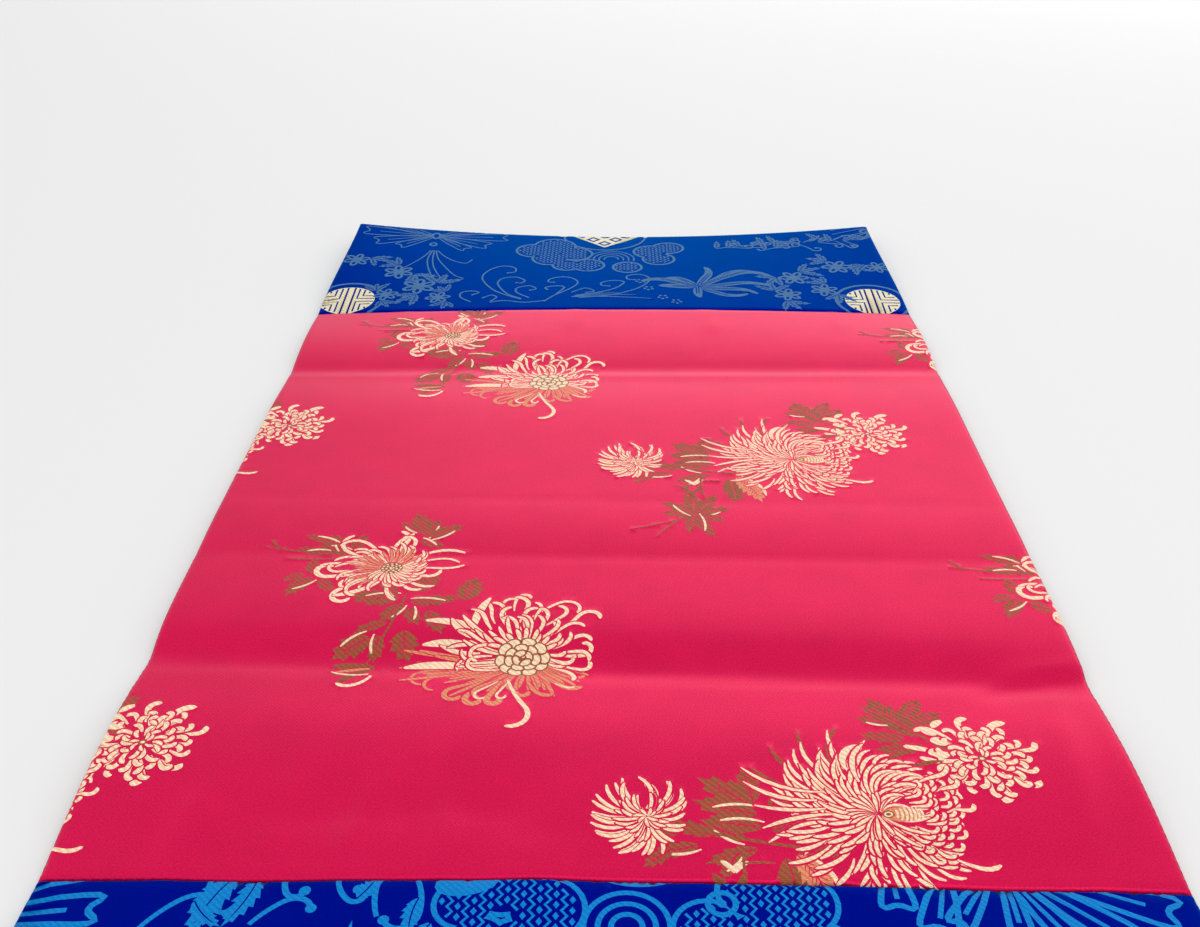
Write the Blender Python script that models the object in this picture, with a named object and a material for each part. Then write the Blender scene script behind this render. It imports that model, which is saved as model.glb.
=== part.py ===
"""Brocade panel: a crimson figured satin between two royal blue bands, sewn edge to edge.

The panel lies on a table. It was kept folded, so it touches the table along its old creases
and stands a few millimetres clear between them, and its far corners curl up.
Metres, +Z up. The origin is on the table under the middle of the panel, and +Y runs from the
near end to the far end.
"""

import math
from collections import namedtuple

import bpy

# Driving sizes.
WIDTH = 0.304
CENTRE_LENGTH = 0.368
BAND_LENGTH = 0.1115
THICKNESS = 0.003  # face, back and turned edges, pressed together
SEAM_GAP = 0.0003
EDGE_ROUND = 0.0011
EDGE_SEGMENTS = 2

COLUMNS = 24
ROW_STEP = 0.0090

HALF_WIDTH = WIDTH / 2
SEAM_Y = CENTRE_LENGTH / 2
END_Y = SEAM_Y + BAND_LENGTH
MM = 0.001

# Every line that runs across the panel, from the near end to the far end.
# y_left and y_right are metres. The rest are millimetres: lift_* is how far the underside
# stands off the table at the left edge, the middle and the right edge, in_* is how far each
# side edge lies inside the nominal width, and pressed is how far the cloth lies flat on the
# table to either side of the line.
Line = namedtuple(
    "Line", "name y_left y_right lift_left lift_middle lift_right in_left in_right pressed"
)
LINES = [
    Line("near_end", -END_Y, -END_Y, 1.0, 0.0, 1.5, -0.4, 0.0, 0.0),
    Line("near_seam", -SEAM_Y + 0.0020, -SEAM_Y - 0.0026, 0.2, 2.4, 0.2, -0.8, -0.2, 0.0),
    Line("near_third", -0.0900, -0.1040, 0.0, 0.0, 0.0, 0.2, 0.5, 2.5),
    Line("lower_crease", -0.0325, -0.0385, 2.2, 2.0, 1.6, -0.1, 0.0, 0.0),
    Line("middle_crease", 0.0055, -0.0015, 2.3, 2.2, 1.8, -0.1, 0.0, 0.0),
    Line("far_third", 0.1180, 0.1180, 0.0, 0.0, 0.0, 1.6, 0.2, 2.5),
    Line("far_seam", SEAM_Y, SEAM_Y, 0.2, 3.0, 0.2, 1.2, 0.4, 0.0),
    Line("far_end", END_Y, END_Y, 8.4, 0.0, 6.6, 5.0, 4.4, 0.0),
]

# The swell of the cloth between each line and the next, in millimetres above the straight
# run from line to line. peak is where the swell is highest, as a share of the way across.
Swell = namedtuple("Swell", "rise_left rise_middle rise_right peak")
SWELLS = [
    Swell(2.0, 1.4, 1.8, 0.50),
    Swell(3.6, 2.8, 3.0, 0.56),
    Swell(1.6, 1.5, 1.4, 0.34),
    Swell(0.3, 0.4, 0.3, 0.50),
    Swell(1.4, 1.2, 1.2, 0.72),
    Swell(2.0, 1.0, 2.0, 0.45),
    Swell(0.6, 0.4, 0.6, 0.45),
]


def across(left, middle, right, u):
    """The smooth curve through three values at u = -1, 0 and 1."""
    return middle + (right - left) / 2 * u + ((right + left) / 2 - middle) * u * u


def swell_share(t, peak):
    """0 at both ends of a swell and 1 at its peak."""
    return math.sin(math.pi * t ** (math.log(0.5) / math.log(peak)))


def half_width_at(line, u):
    return HALF_WIDTH - (line.in_left if u < 0 else line.in_right) * MM


def line_point(line, u, shift=0.0):
    """The underside where a line crosses it, or a shift further on, at u from edge to edge."""
    y = line.y_left + (line.y_right - line.y_left) * (u + 1) / 2
    lift = across(line.lift_left, line.lift_middle, line.lift_right, u)
    return u * half_width_at(line, u), y + shift, lift * MM


def swell_point(span, t, u):
    """The underside at share t of the way from a line's flat strip to the next one's."""
    near, far, swell = LINES[span], LINES[span + 1], SWELLS[span]
    near_x, near_y, near_z = line_point(near, u, near.pressed * MM)
    far_x, far_y, far_z = line_point(far, u, -far.pressed * MM)
    rise = across(swell.rise_left, swell.rise_middle, swell.rise_right, u) * MM
    eased = t * t * (3 - 2 * t)
    x = near_x + (far_x - near_x) * eased
    z = near_z + (far_z - near_z) * t + rise * swell_share(t, swell.peak)
    return x, near_y + (far_y - near_y) * t, z


def row_shares(span):
    """Rows between two lines, closer together near the creases at its ends."""
    length = abs(LINES[span + 1].y_left - LINES[span].y_left)
    count = max(4, round(length / ROW_STEP))
    for step in range(1, count):
        even = step / count
        yield (even + (1 - math.cos(math.pi * even)) / 2) / 2


def underside_rows(first, last):
    """Rows of points from one named line to another, near to far."""
    names = [line.name for line in LINES]
    start, stop = names.index(first), names.index(last)
    stations = [2 * i / COLUMNS - 1 for i in range(COLUMNS + 1)]
    rows = []
    for index in range(start, stop + 1):
        strip = LINES[index].pressed * MM
        for shift in sorted({-strip, 0.0, strip}):
            rows.append([line_point(LINES[index], u, shift) for u in stations])
        if index < stop:
            for t in row_shares(index):
                rows.append([swell_point(index, t, u) for u in stations])
    return rows


def pull_back(rows, near_gap, far_gap):
    """Leaves the seam gap at whichever ends of a cloth are sewn."""
    for row, shift in ((rows[0], near_gap), (rows[-1], -far_gap)):
        row[:] = [(x, y + shift, z) for x, y, z in row]


def satin(name, colour, roughness):
    material = bpy.data.materials.new(name)
    material.use_nodes = True
    shader = material.node_tree.nodes["Principled BSDF"]
    shader.inputs["Base Color"].default_value = (*colour, 1.0)
    shader.inputs["Roughness"].default_value = roughness
    shader.inputs["Metallic"].default_value = 0.0
    return material


def cloth(name, first, last, material, near_gap=0.0, far_gap=0.0):
    """One cut of cloth between two lines: its underside, thickened upwards, with round edges."""
    rows = underside_rows(first, last)
    pull_back(rows, near_gap, far_gap)
    stride = COLUMNS + 1
    points = [point for row in rows for point in row]
    faces = [
        (j * stride + i, j * stride + i + 1, (j + 1) * stride + i + 1, (j + 1) * stride + i)
        for j in range(len(rows) - 1)
        for i in range(COLUMNS)
    ]
    mesh = bpy.data.meshes.new(name)
    mesh.from_pydata(points, [], faces)
    mesh.materials.append(material)
    piece = bpy.data.objects.new(name, mesh)
    bpy.context.scene.collection.objects.link(piece)

    thicken = piece.modifiers.new("Thickness", "SOLIDIFY")
    thicken.thickness = THICKNESS
    thicken.offset = 1.0
    thicken.use_even_offset = True
    round_edges = piece.modifiers.new("Turned edges", "BEVEL")
    round_edges.limit_method = "ANGLE"
    round_edges.angle_limit = math.radians(60)
    round_edges.width = EDGE_ROUND
    round_edges.segments = EDGE_SEGMENTS
    mesh.shade_smooth()
    mesh.set_sharp_from_angle(angle=math.radians(60))
    return piece


def clear_scene():
    for leftover in list(bpy.data.objects):
        bpy.data.objects.remove(leftover, do_unlink=True)


def main():
    clear_scene()
    crimson = satin("Crimson satin", (0.62, 0.012, 0.085), 0.42)
    royal_blue = satin("Royal blue satin", (0.006, 0.03, 0.36), 0.45)
    half_gap = SEAM_GAP / 2
    cloth("near_band", "near_end", "near_seam", royal_blue, far_gap=half_gap)
    cloth("centre_panel", "near_seam", "far_seam", crimson, half_gap, half_gap)
    cloth("far_band", "far_seam", "far_end", royal_blue, near_gap=half_gap)


main()
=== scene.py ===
import math
import random
from collections import namedtuple

import bpy
import numpy as np
from mathutils.geometry import delaunay_2d_cdt
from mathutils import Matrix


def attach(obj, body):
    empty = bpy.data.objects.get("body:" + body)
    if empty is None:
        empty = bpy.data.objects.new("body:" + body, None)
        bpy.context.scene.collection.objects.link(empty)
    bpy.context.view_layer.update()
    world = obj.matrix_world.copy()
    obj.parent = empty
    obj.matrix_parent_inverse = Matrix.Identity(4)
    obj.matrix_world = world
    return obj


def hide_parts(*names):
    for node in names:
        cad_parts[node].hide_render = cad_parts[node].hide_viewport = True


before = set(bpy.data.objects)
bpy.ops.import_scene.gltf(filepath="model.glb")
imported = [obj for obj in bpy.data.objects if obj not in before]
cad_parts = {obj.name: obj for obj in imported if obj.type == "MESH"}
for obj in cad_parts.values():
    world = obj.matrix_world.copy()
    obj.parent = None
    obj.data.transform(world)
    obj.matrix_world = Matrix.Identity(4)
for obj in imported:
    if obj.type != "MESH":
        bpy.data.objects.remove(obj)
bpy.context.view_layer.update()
for loaded in bpy.context.selected_objects:
    loaded.select_set(False)


# How the panel lies: three cloths sewn end to end, kept folded and then spread on a table.
# It touches the table along the old folds, swells between them and curls up at its far
# corners. Lengths are millimetres; the fold lines are those of the solids.
MM = 0.001
HALF_WIDTH = 152.0
SEAM = 184.0
END = SEAM + 111.5
THICK = 2.6  # face, back and the turned hems, pressed together

Line = namedtuple("Line", "y_left y_right lift_left lift_middle lift_right in_left in_right strip")
LINES = [
    Line(-END, -END, 1.0, 0.0, 1.5, -0.4, 0.0, 0.0),
    Line(-SEAM + 2.0, -SEAM - 2.6, 0.2, 2.4, 0.2, -0.8, -0.2, 0.0),
    Line(-90.0, -104.0, 0.0, 0.0, 0.0, 0.2, 0.5, 2.5),
    Line(-32.5, -38.5, 2.2, 2.0, 1.6, -0.1, 0.0, 0.0),
    Line(5.5, -1.5, 2.3, 2.2, 1.8, -0.1, 0.0, 0.0),
    Line(118.0, 118.0, 0.0, 0.0, 0.0, 1.6, 0.2, 2.5),
    Line(SEAM, SEAM, 0.2, 3.0, 0.2, 1.2, 0.4, 0.0),
    Line(END, END, 8.4, 0.0, 6.6, 5.0, 4.4, 0.0),
]
Swell = namedtuple("Swell", "left middle right peak")
SWELLS = [
    Swell(2.0, 1.4, 1.8, 0.50),
    Swell(3.6, 2.8, 3.0, 0.56),
    Swell(1.6, 1.5, 1.4, 0.34),
    Swell(0.3, 0.4, 0.3, 0.50),
    Swell(1.4, 1.2, 1.2, 0.72),
    Swell(2.0, 1.0, 2.0, 0.45),
    Swell(0.6, 0.4, 0.6, 0.45),
]

# Soft ridges and dips that are too fine for the solids. Each runs from its middle at an angle
# from the width, for a length either way, with a height and a width on its two flanks.
Fold = namedtuple("Fold", "x y angle length height right_flank left_flank")
FOLDS = [
    Fold(0, 114.0, 0.0, 170, 0.70, 5.0, 2.6),
    Fold(0, 118.0, 0.0, 170, -0.40, 1.6, 4.0),
    Fold(0, -80.0, -2.6, 170, 1.10, 10.0, 26.0),
    Fold(0, -97.0, -2.6, 170, -0.45, 3.0, 8.0),
    Fold(0, -104.0, -2.6, 170, 0.30, 7.0, 4.0),
    Fold(0, 2.0, -1.3, 170, -0.12, 2.0, 3.0),
    Fold(0, -35.5, -1.1, 170, -0.16, 2.0, 3.0),
    Fold(136, -99.5, 12.0, 17, 1.10, 2.4, 5.0),
    Fold(134, -105.0, 14.0, 18, -0.80, 3.5, 1.6),
    Fold(134, -148.5, 84.0, 40, 0.60, 4.0, 7.0),
    Fold(-61, 26.5, 90.0, 50, 0.25, 7.0, 7.0),
    Fold(60, 60.0, 84.0, 40, 0.20, 8.0, 8.0),
    Fold(-36, -143.5, 88.0, 28, 0.35, 8.0, 5.0),
    Fold(-92, -164.0, 98.0, 17, 1.20, 4.0, 5.0),
    Fold(-78, -161.0, 4.0, 26, -1.50, 8.0, 13.0),
    Fold(-38, -159.0, -6.0, 15, -1.30, 8.0, 15.0),
    Fold(-70, -163.0, 82.0, 14, 1.20, 4.0, 4.0),
    Fold(-46, -166.0, 94.0, 15, 1.10, 3.5, 5.0),
    Fold(-118, -167.0, 86.0, 14, 0.90, 4.0, 4.0),
    Fold(-20, -184.0, 90.0, 14, 0.90, 12.0, 14.0),
    Fold(-92, -184.0, 90.0, 14, -0.80, 14.0, 16.0),
    Fold(100, -186.0, 90.0, 14, -0.60, 20.0, 20.0),
    Fold(24, -170.5, 94.0, 14, 0.30, 4.0, 4.0),
    Fold(-105, 171.5, 92.0, 15, 0.35, 5.0, 5.0),
    Fold(-20, 173.5, 86.0, 14, 0.35, 5.0, 4.0),
    Fold(48, 171.5, 95.0, 15, 0.40, 5.0, 5.0),
    Fold(112, 173.5, 90.0, 12, 0.35, 4.0, 4.0),
    Fold(-60, 206.5, 84.0, 18, 0.30, 6.0, 6.0),
    Fold(70, 209.5, 97.0, 20, 0.30, 6.0, 6.0),
]


def across(left, middle, right, u):
    """The smooth curve through three values at u = -1, 0 and 1."""
    return middle + (right - left) / 2 * u + ((right + left) / 2 - middle) * u * u


def lying(x, y):
    """Where points of the flat cloth lie: x drawn in, and how high the underside stands."""
    u = np.clip(x / HALF_WIDTH, -1.0, 1.0)
    crossings = np.array([
        line.y_left + (line.y_right - line.y_left) * (u + 1) / 2 for line in LINES
    ])
    span = np.clip((y >= crossings).sum(axis=0) - 1, 0, len(SWELLS) - 1)
    lines = np.array(LINES)
    swells = np.array(SWELLS)
    near, far, swell = Line(*lines[span].T), Line(*lines[span + 1].T), Swell(*swells[span].T)
    column = np.arange(len(u))
    near_y = crossings[span, column] + near.strip
    far_y = crossings[span + 1, column] - far.strip
    t = np.clip((y - near_y) / (far_y - near_y), 0.0, 1.0)
    near_z = across(near.lift_left, near.lift_middle, near.lift_right, u)
    far_z = across(far.lift_left, far.lift_middle, far.lift_right, u)
    rise = across(swell.left, swell.middle, swell.right, u)
    share = np.sin(np.pi * t ** (math.log(0.5) / np.log(swell.peak)))
    z = near_z + (far_z - near_z) * t + rise * share
    eased = t * t * (3 - 2 * t)
    near_in = np.where(u < 0, near.in_left, near.in_right)
    far_in = np.where(u < 0, far.in_left, far.in_right)
    drawn_in = near_in * (1 - eased) + far_in * eased
    for fold in FOLDS:  # each is rounded across, and even along until it fades near its ends
        angle = math.radians(fold.angle)
        along = (x - fold.x) * math.cos(angle) + (y - fold.y) * math.sin(angle)
        off = -(x - fold.x) * math.sin(angle) + (y - fold.y) * math.cos(angle)
        flank = np.where(off < 0, fold.right_flank, fold.left_flank)
        z = z + fold.height * np.exp(-np.abs(off / flank) ** 1.6 - (along / fold.length) ** 4)
    return x * (1 - drawn_in / HALF_WIDTH), np.maximum(z, 0.0)


# The woven figure: shapes in millimetres on the flat cloth, later ones over earlier ones.
# Each shape names the weft that comes to the face inside its outline.
GROUND, CREAM, PEACH, BROWN = range(4)
Shape = namedtuple("Shape", "weft outline middle")


def ray(x, y, heading, length, bend=0, hook=0, width=1.6, base=0.35, tip=0.75, belly=0.62, steps=0):
    """A petal or tendril that leaves x, y at a heading, bends evenly and hooks near its tip.
    It is widest at the belly, a share of the way along."""
    steps = steps or 5 + int(abs(bend) / 34) + int(abs(hook) / 18)
    middle = [(x, y)]
    places = [0.0]
    for step in range(1, steps + 1):
        s = step / steps
        places.append(s if not hook else s * 0.72 + 0.28 * (1 - (1 - s) ** 2))
    for start, stop in zip(places, places[1:]):
        s = (start + stop) / 2
        turn = math.radians(heading + bend * s + hook * max(0.0, (s - 0.5) / 0.5) ** 1.3)
        x += length * (stop - start) * math.cos(turn)
        y += length * (stop - start) * math.sin(turn)
        middle.append((x, y))
    left, right = [], []
    for i, (px, py) in enumerate(middle):
        ax, ay = middle[max(i - 1, 0)]
        bx, by = middle[min(i + 1, steps)]
        run = math.hypot(bx - ax, by - ay)
        nx, ny = -(by - ay) / run, (bx - ax) / run
        s = places[i]
        if s < belly:
            share = base + (1 - base) * math.sin(math.pi / 2 * s / belly)
        else:
            share = tip + (1 - tip) * math.cos(math.pi / 2 * (s - belly) / (1 - belly))
        if i == steps:
            share *= 0.7
        half = width / 2 * share
        left.append((px + nx * half, py + ny * half))
        right.append((px - nx * half, py - ny * half))
    (ax, ay), (bx, by) = middle[-2], middle[-1]
    run = math.hypot(bx - ax, by - ay)
    reach = width * tip * 0.34
    point = (bx + (bx - ax) / run * reach, by + (by - ay) / run * reach)
    return left + [point] + right[::-1], middle[1:]


RIM_TAKEN, RIM_ADDED = 1.1, 1.7  # what a rim takes from its ray's width, and adds around it


def draw(figure, weft, x, y, heading, length, rim=0.0, **shape):
    """Adds a ray. A rim slims it, and lays a wider one of the ground under it, which parts it
    from what lies behind."""
    width = shape.pop("width", 1.6)
    outline, middle = ray(x, y, heading, length, width=width - RIM_TAKEN * rim, **shape)
    if rim:
        wider = ray(x, y, heading, length + rim, width=width + RIM_ADDED * rim, **shape)[0]
        figure.append(Shape(GROUND, wider, []))
    figure.append(Shape(weft, outline, middle))


def fan(figure, weft, first, last, count, reach, length, rng, lean=0.0, uneven=0.16, bend=0.0,
        hook=0.0, centre=(0.0, 0.0), jitter=6, **shape):
    """A row of rays around a heart, from one angle to another; uneven is how much they differ."""
    for i in range(count):
        angle = first + (last - first) * (i + rng.uniform(-0.25, 0.25)) / max(1, count - 1)
        c, s = math.cos(math.radians(angle)), math.sin(math.radians(angle))
        draw(
            figure, weft, centre[0] + reach * c, centre[1] + reach * s,
            angle + lean + rng.uniform(-jitter, jitter), length * (1 + rng.uniform(-uneven, uneven)),
            bend=bend * (1 + rng.uniform(-0.35, 0.35)), hook=hook * (1 + rng.uniform(-0.25, 0.25)),
            **shape,
        )


def oval(figure, weft, x, y, wide, tall, turn=0.0, points=10):
    """A filled oval spot, turned by an angle."""
    c, s = math.cos(math.radians(turn)), math.sin(math.radians(turn))
    outline = []
    for i in range(points):
        a = 2 * math.pi * i / points
        px, py = wide / 2 * math.cos(a), tall / 2 * math.sin(a)
        outline.append((x + px * c - py * s, y + px * s + py * c))
    figure.append(Shape(weft, outline, [(x, y)]))


def leaf(figure, weft, x, y, heading, length, width, bend=0.0, teeth=5, veins=True, accent=0):
    """A toothed leaf with its midrib and side veins left in the ground weave."""
    steps = teeth * 2
    middle = [(x, y)]
    for step in range(1, steps + 1):
        turn = math.radians(heading + bend * (step - 0.5) / steps)
        px, py = middle[-1]
        middle.append((px + length / steps * math.cos(turn), py + length / steps * math.sin(turn)))
    sides = ([], [])
    for i in range(1, steps):
        (ax, ay), (bx, by) = middle[i - 1], middle[i + 1]
        run = math.hypot(bx - ax, by - ay)
        wx, wy = (bx - ax) / run, (by - ay) / run
        s = i / steps
        half = width / 2 * math.sin(math.pi * s ** 0.75) ** 0.8 * (0.72 if i % 2 else 1.12)
        lead = (-0.1 if i % 2 else 0.9) * length / steps
        px, py = middle[i][0] + wx * lead, middle[i][1] + wy * lead
        sides[0].append((px - wy * half, py + wx * half))
        sides[1].append((px + wy * half, py - wx * half))
    tip = (middle[-1][0] + wx * length * 0.06, middle[-1][1] + wy * length * 0.06)
    figure.append(Shape(weft, [middle[0]] + sides[0] + [tip] + sides[1][::-1], middle[2:-1]))
    rib = dict(width=0.40, base=1.0, tip=0.6)
    draw(figure, GROUND, x, y, heading, length * 0.86, bend=bend * 0.86, steps=5, **rib)
    if veins:
        for i in range(1, steps - 2):
            (ax, ay), (bx, by) = middle[i - 1], middle[i + 1]
            way = math.degrees(math.atan2(by - ay, bx - ax))
            reach = width * 0.46 * math.sin(math.pi * (i / steps) ** 0.8) ** 0.7
            for side in (-40, 40):
                draw(figure, GROUND, *middle[i], way + side, reach, steps=2, width=0.3, base=1.0, tip=0.5)
    if accent:
        nx, ny = -math.sin(math.radians(heading)), math.cos(math.radians(heading))
        side = 1 if accent > 0 else -1
        draw(
            figure, CREAM, x + nx * side * width * 0.34, y + ny * side * width * 0.34,
            heading + side * 9, length * 0.72, bend=-side * 36, width=0.95, base=0.5, tip=0.8,
        )


def placed(shapes, x, y):
    """The same shapes with their origin moved to x, y."""
    moved = []
    for shape in shapes:
        outline = [(x + px, y + py) for px, py in shape.outline]
        middle = [(x + px, y + py) for px, py in shape.middle]
        moved.append(Shape(shape.weft, outline, middle))
    return moved


def strokes(head, weft, table, **shape):
    """Single petals from a table: where each springs, its heading, length, bend, hook, width."""
    for x, y, heading, length, bend, hook, width in table:
        draw(head, weft, x, y, heading, length, bend=bend, hook=hook, width=width, **shape)


def spider_chrysanthemum():
    """The large open head with a rosette heart, thick rays above and thin copper rays below."""
    rng = random.Random(11)
    head = []
    strokes(head, PEACH, [(-14, -5, 184, 31, -6, 215, 1.3), (-14, -7, 196, 24, -18, 180, 1.3)], rim=0.2)
    for first, last, count, reach, length in (
        (182, 204, 9, 9, 25), (190, 226, 9, 9, 19), (206, 250, 9, 8, 12), (300, 352, 13, 8, 12.5),
        (250, 310, 8, 7, 9.5),
    ):
        fan(head, PEACH, first, last, count, reach, length, rng, lean=-4, bend=-12, width=1.6,
            uneven=0.25, rim=0.26)
    strokes(head, PEACH, [
        (-10, -10, 212, 24, -18, 235, 2.0), (-8, -11, 232, 21, -20, 230, 2.4),
        (-7, -11, 212, 14, 12, 120, 1.6),
        (-6, -12, 250, 18, -10, 245, 2.6), (-1, -11, 262, 13, 30, 165, 2.0), (2, -11, 286, 13, 34, 60, 2.0),
        (8, -9, 308, 14, 24, 60, 2.4), (-5, -11, 280, 8, 20, 90, 1.6), (12, -7, 330, 9, 20, 60, 1.8),
    ], base=0.35, tip=0.95, belly=0.8, rim=0.3)
    strokes(head, CREAM, [
        (-7, -12, 226, 15, -16, 200, 0.9), (-4, -13, 246, 12, -8, 220, 0.9),
        (-4, -11, 284, 30, 36, -150, 1.7),
        (11, -13, 326, 7, 10, 60, 0.9),
    ], base=0.5, tip=0.95, belly=0.8)
    strokes(head, CREAM, [
        (-4, 22, 96, 14, -40, -140, 1.7), (-9, 19, 80, 13, 10, -120, 1.6), (1, 17, 52, 26, -30, -150, 1.6),
        (10, 11, 30, 22, 62, -190, 2.0), (11, 1, 352, 17, 30, 175, 1.9), (13, -3, 334, 12, 30, 120, 1.9),
        (7, 14, 40, 15, 10, 130, 1.8), (-2, 15, 76, 18, -4, 120, 2.0), (3, 17, 80, 11, -30, 120, 1.6),
        (12, 6, 24, 12, 10, -110, 1.9), (9, 9, 48, 14, -10, -100, 1.7), (-7, 15, 96, 14, -10, 100, 1.8),
        (12, 2, 8, 12, -10, -100, 1.8), (10, -4, 340, 11, -20, -80, 1.9), (5, 12, 64, 13, 20, 80, 1.8),
        (0, 13, 98, 13, -20, -90, 1.8), (-5, 12, 122, 14, -30, -80, 1.8), (-10, 15, 118, 12, -50, 60, 1.7),
    ], base=0.35, tip=0.95, belly=0.78, rim=0.34)
    fan(head, CREAM, -16, 104, 14, 8.0, 10.0, rng, lean=-10, bend=20, hook=60, width=1.75, rim=0.36,
        uneven=0.38, belly=0.75, jitter=20)
    strokes(head, CREAM, [
        (-15, 12, 148, 19, 34, 0, 3.6), (-17, 11, 92, 19, -30, 0, 3.4), (-14, 8, 168, 15, -60, 0, 2.9),
        (-18, 6, 174, 15, 14, 0, 3.5), (-15, -4, 168, 23, 24, 0, 4.2), (-11, 12, 118, 14, -20, 80, 2.0),
        (-12, 9, 144, 14, -26, 0, 2.2), (-12, 6, 152, 12, -30, 60, 1.8), (-14, 2, 186, 14, -40, 0, 2.2),
        (-15, 5, 164, 10, 40, 0, 1.8), (-10, 1, 178, 15, 30, 90, 1.6), (-10, -1, 186, 13, -30, -80, 1.5),
    ], base=0.4, tip=0.5, belly=0.55, rim=0.4)
    fan(head, CREAM, 116, 204, 11, 7.0, 12.0, rng, lean=6, bend=-24, width=1.8, rim=0.38, uneven=0.3,
        tip=0.6, jitter=14)
    strokes(head, CREAM, [(-6, 5, 164, 17, 60, 130, 1.6), (-7, -5, 188, 15, -30, -120, 1.6)], rim=0.34)
    fan(head, CREAM, 24, 150, 9, 6.6, 5.5, rng, lean=-8, bend=30, width=1.9, rim=0.38, uneven=0.2,
        belly=0.7)
    for reach, count, wide, tall in ((7.0, 10, 4.6, 3.4), (4.3, 7, 4.1, 2.9), (2.1, 4, 3.6, 2.1)):
        for i in range(count):
            turn = 360 * i / count + reach * 11 + rng.uniform(-5, 5)
            px = reach * math.cos(math.radians(turn))
            py = reach * math.sin(math.radians(turn)) * 0.9
            oval(head, BROWN, px, py, tall + 1.3, wide + 1.3, turn, 9)
            oval(head, CREAM, px * 1.02, py * 1.02, tall, wide, turn, 9)
    oval(head, BROWN, 0, 0, 3.0, 1.8, 30)
    oval(head, CREAM, 0.3, 0.4, 1.4, 0.5, 30, 6)
    return head


def half_open_chrysanthemum():
    """The smaller head with a dotted heart and looping, hooked petals."""
    rng = random.Random(5)
    head = []
    strokes(head, CREAM, [
        (-6, -3, 190, 30, -4, -225, 2.4), (-5, -5, 216, 27, 2, 205, 2.2), (-4, 4, 158, 27, -16, -120, 1.9),
        (-8, 2, 176, 18, -8, 40, 1.7), (-3, 6, 120, 24, 34, 90, 1.8), (1, 8, 84, 17, -30, 110, 2.3),
        (-1, 6, 102, 18, -66, 0, 1.9), (4, 5, 40, 23, -40, -30, 1.7), (6, 3, 20, 19, -10, -60, 1.4),
        (6, 0, 6, 20, -22, 50, 1.5), (5, -3, 340, 15, 20, 90, 1.9), (4, -6, 322, 14, 10, 50, 1.8),
        (-2, -7, 236, 19, -46, 0, 2.5), (0, -8, 262, 13, 44, 20, 1.9), (-4, -5, 204, 19, 30, 130, 1.7),
        (3, -7, 300, 12, 26, 60, 1.8), (-5, 3, 146, 18, 30, 60, 1.7), (3, 7, 60, 17, 30, 120, 1.8),
        (-10, -1, 186, 16, 10, -140, 1.6), (-9, -5, 206, 12, -10, 140, 1.7),
    ], base=0.3, tip=0.85, belly=0.7, rim=0.3)
    fan(head, CREAM, 130, 236, 13, 4.0, 15.0, rng, lean=4, bend=-20, hook=90, width=1.5, rim=0.28,
        uneven=0.2)
    fan(head, CREAM, 16, 124, 12, 4.0, 11.5, rng, lean=-6, bend=26, hook=70, width=1.5, rim=0.28)
    fan(head, CREAM, 244, 376, 14, 4.0, 9.5, rng, lean=8, bend=30, hook=80, width=1.6, rim=0.28)
    fan(head, PEACH, 136, 226, 10, 4.0, 10.5, rng, bend=-16, width=1.2, rim=0.25)
    fan(head, PEACH, 20, 110, 8, 4.0, 8.5, rng, bend=16, width=1.2, rim=0.25)
    fan(head, CREAM, 200, 380, 16, 3.4, 6.0, rng, lean=10, bend=24, width=1.5, rim=0.32, belly=0.75)
    oval(head, BROWN, 0, 0, 8.2, 7.2)
    for reach, count in ((3.2, 12), (1.9, 7), (0.6, 3)):
        for i in range(count):
            turn = 360 * i / count + reach * 20
            oval(head, CREAM, reach * math.cos(math.radians(turn)),
                 reach * 0.88 * math.sin(math.radians(turn)), 1.15, 0.85, turn + 60, 6)
    return head


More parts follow.
